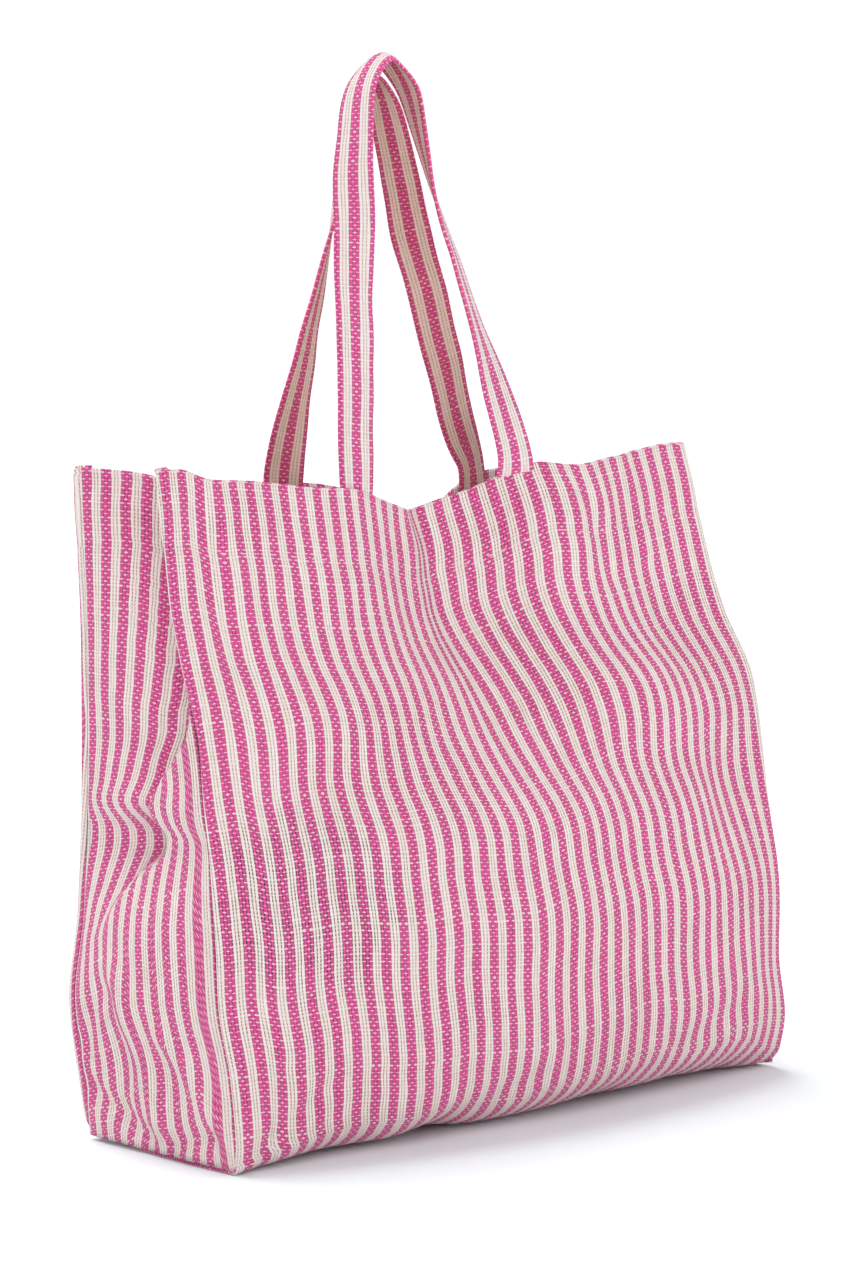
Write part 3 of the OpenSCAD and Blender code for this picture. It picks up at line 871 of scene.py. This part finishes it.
# ---- stitching ----
def hem_stitches(line, normal):
    """Short raised stitches that follow the cloth, with gaps where the thread is on the inside."""
    runs = []
    for j in range(3, len(line) - 5, 3):
        run = []
        for step, rise in ((0.0, -0.7), (0.25, 0.05), (0.9, 0.2), (1.55, 0.05), (1.8, -0.7)):
            i, f = j + int(step), step - int(step)
            run.append(mix(line[i], line[i + 1], f) + rise * normal[i])
        runs.append(run)
    return runs


hem_thread = thread_piece("hem_thread", [run for line in hem_lines for run in hem_stitches(*line)])


def overlock(left, at_front):
    """Zigzag thread over the allowance's edge, inside a corner seam."""
    turns = np.arange(210)
    z = np.linspace(14, BAG_H - HEM_H - 6, len(turns))
    _, seam, inside = seam_point(z, left, at_front, np.ones(len(z)))
    side = unit(np.cross(inside, np.array([0.0, 0.0, 1.0])))
    reach = np.where(turns % 2 == 0, SEAM_W - 3.5, SEAM_W + 0.6)
    sway = np.where(turns % 4 < 2, 1.5, -1.5)
    return [seam + inside * reach[:, None] + side * sway[:, None]]


def base_overlock(side):
    """The same over the allowance along a gusset's foot."""
    turns = np.arange(60)
    y = np.linspace(-BASE_D / 2 + 16, BASE_D / 2 - 16, len(turns))
    reach = np.where(turns % 2 == 0, 5.0, 8.5)
    sway = np.where(turns % 4 < 2, 1.4, -1.4)
    x = side * (BASE_W / 2 - reach * 0.7 - sway * 0.7)
    return [np.stack([x, y, 2.8 + reach * 0.7 - sway * 0.7 + 1.0], -1)]


seam_threads = {}
for left, side_name in ((True, "left"), (False, "right")):
    for at_front, end_name in ((True, "front"), (False, "back")):
        seam_threads[f"{side_name}_{end_name}_seam"] = thread_piece(
            f"{side_name}_{end_name}_overlock", overlock(left, at_front))
    seam_threads[f"{side_name}_base_seam"] = thread_piece(
        f"{side_name}_base_overlock", base_overlock(-1 if left else 1))


def tab_stitches(grid):
    """Two rows of stitches across each end of a strap, on the side that faces into the bag."""
    runs = []
    length = np.linalg.norm(np.diff(grid[:, 6], axis=0), axis=-1).cumsum()
    total = length[-1]
    for at in (6.0, 24.0, total - 24.0, total - 6.0):
        i = int(np.searchsorted(length, at))
        ring = grid[i]
        centre = ring.mean(0)
        for face in (ring[2:15], ring[19:32][::-1]):
            out = unit(face[5] - centre)
            for k in range(0, 10, 2):
                a, b = face[k] - 0.1 * out, face[k + 1] - 0.1 * out
                middle = (a + b) / 2 + 0.3 * out
                runs.append([a - 0.4 * out, a, middle, b, b - 0.4 * out])
    return runs


front_tab_thread = thread_piece("front_strap_thread", tab_stitches(front_strap_grid))
back_tab_thread = thread_piece("back_strap_thread", tab_stitches(back_strap_grid))

# ---- what each piece stands for and rides on ----
def part_of_bag(piece, slot, *nodes):
    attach(piece, "bag")
    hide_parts(*nodes)


part_of_bag(body_cloth, "striped_cloth",
            "front_panel", "base_panel", "back_panel", "front_hem", "back_hem")
for name, piece in gussets.items():
    which = name.split("_")[0]
    part_of_bag(piece, "striped_cloth", f"{which}_gusset", f"{which}_gusset_hem")
for node, piece in seam_threads.items():
    part_of_bag(piece, "sewing_thread", node)
part_of_bag(hem_thread, "sewing_thread", "hem_stitching")
part_of_bag(front_tab_thread, "sewing_thread", "front_handle_stitching")
part_of_bag(back_tab_thread, "sewing_thread", "back_handle_stitching")

for piece, body, handle in ((front_strap, "front_strap", "front_handle"),
                            (back_strap, "back_strap", "back_handle")):
    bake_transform(piece)
    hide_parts(handle, handle + "_ends")

# ---- floor, light and camera ----
floor_mesh = bpy.data.meshes.new("floor")
floor_mesh.from_pydata([(-60, -60, 0), (60, -60, 0), (60, 60, 0), (-60, 60, 0)], [], [(0, 1, 2, 3)])
floor_mesh.materials.append(floor_material())
floor = bpy.data.objects.new("floor", floor_mesh)
bpy.context.collection.objects.link(floor)


def soft_light(name, place, size, watts, aim=(0, 0, 0.25)):
    data = bpy.data.lights.new(name, "AREA")
    data.shape = "DISK"
    data.size = size
    data.energy = watts
    lamp = bpy.data.objects.new(name, data)
    lamp.location = place
    lamp.rotation_euler = (Vector(aim) - Vector(place)).to_track_quat("-Z", "Y").to_euler()
    bpy.context.collection.objects.link(lamp)


def wide_overhead_light(strength, spread, way):
    """A broad light from above and a little behind, which leaves the soft shadow in front."""
    data = bpy.data.lights.new("overhead_light", "SUN")
    data.energy = strength
    data.angle = math.radians(spread)
    lamp = bpy.data.objects.new("overhead_light", data)
    lamp.rotation_euler = Vector(way).to_track_quat("-Z", "Y").to_euler()
    bpy.context.collection.objects.link(lamp)


soft_light("key_light", (-1.9, -2.0, 1.9), 2.2, 27)
soft_light("side_light", (1.8, -1.8, 1.3), 2.0, 13)
wide_overhead_light(2.5, 42, (0.05, -0.36, -1))

# a bright horizon all round and a dimmer ceiling: from height, to height, and the two strengths
HORIZON_TO_CEILING = (0.22, 0.75, 1.02, 0.30)
scene = bpy.context.scene
world = bpy.data.worlds.new("studio")
world.use_nodes = True
sky = world.node_tree
sky_way = sky.nodes.new("ShaderNodeTexCoord")
sky_split = sky.nodes.new("ShaderNodeSeparateXYZ")
sky_range = sky.nodes.new("ShaderNodeMapRange")
sky_range.interpolation_type = "SMOOTHSTEP"
for socket, value in zip(sky_range.inputs[1:5], HORIZON_TO_CEILING):
    socket.default_value = value
sky.links.new(sky_way.outputs["Generated"], sky_split.inputs[0])
sky.links.new(sky_split.outputs[2], sky_range.inputs[0])
sky.links.new(sky_range.outputs[0], sky.nodes["Background"].inputs[1])
sky.nodes["Background"].inputs[0].default_value = (1, 1, 1, 1)
scene.world = world
scene.view_settings.view_transform = "Standard"

AZIMUTH, PITCH, TILT = math.radians(-41.45), math.radians(4.93), math.radians(-0.81)
away = Vector((math.sin(AZIMUTH) * math.cos(PITCH), -math.cos(AZIMUTH) * math.cos(PITCH),
               math.sin(PITCH)))
right = (-away).cross(Vector((0, 0, 1))).normalized()
above = right.cross(-away)
across = right * math.cos(TILT) + above * math.sin(TILT)
above = -right * math.sin(TILT) + above * math.cos(TILT)
lens = bpy.data.cameras.new("camera")
lens.lens = 104.23
lens.sensor_width = 36
lens.clip_end = 50
camera = bpy.data.objects.new("camera", lens)
camera.matrix_world = Matrix.Translation((-1.54339, -1.73718, 0.49509)) @ Matrix(
    (across, above, away)).transposed().to_4x4()
bpy.context.collection.objects.link(camera)
scene.camera = camera
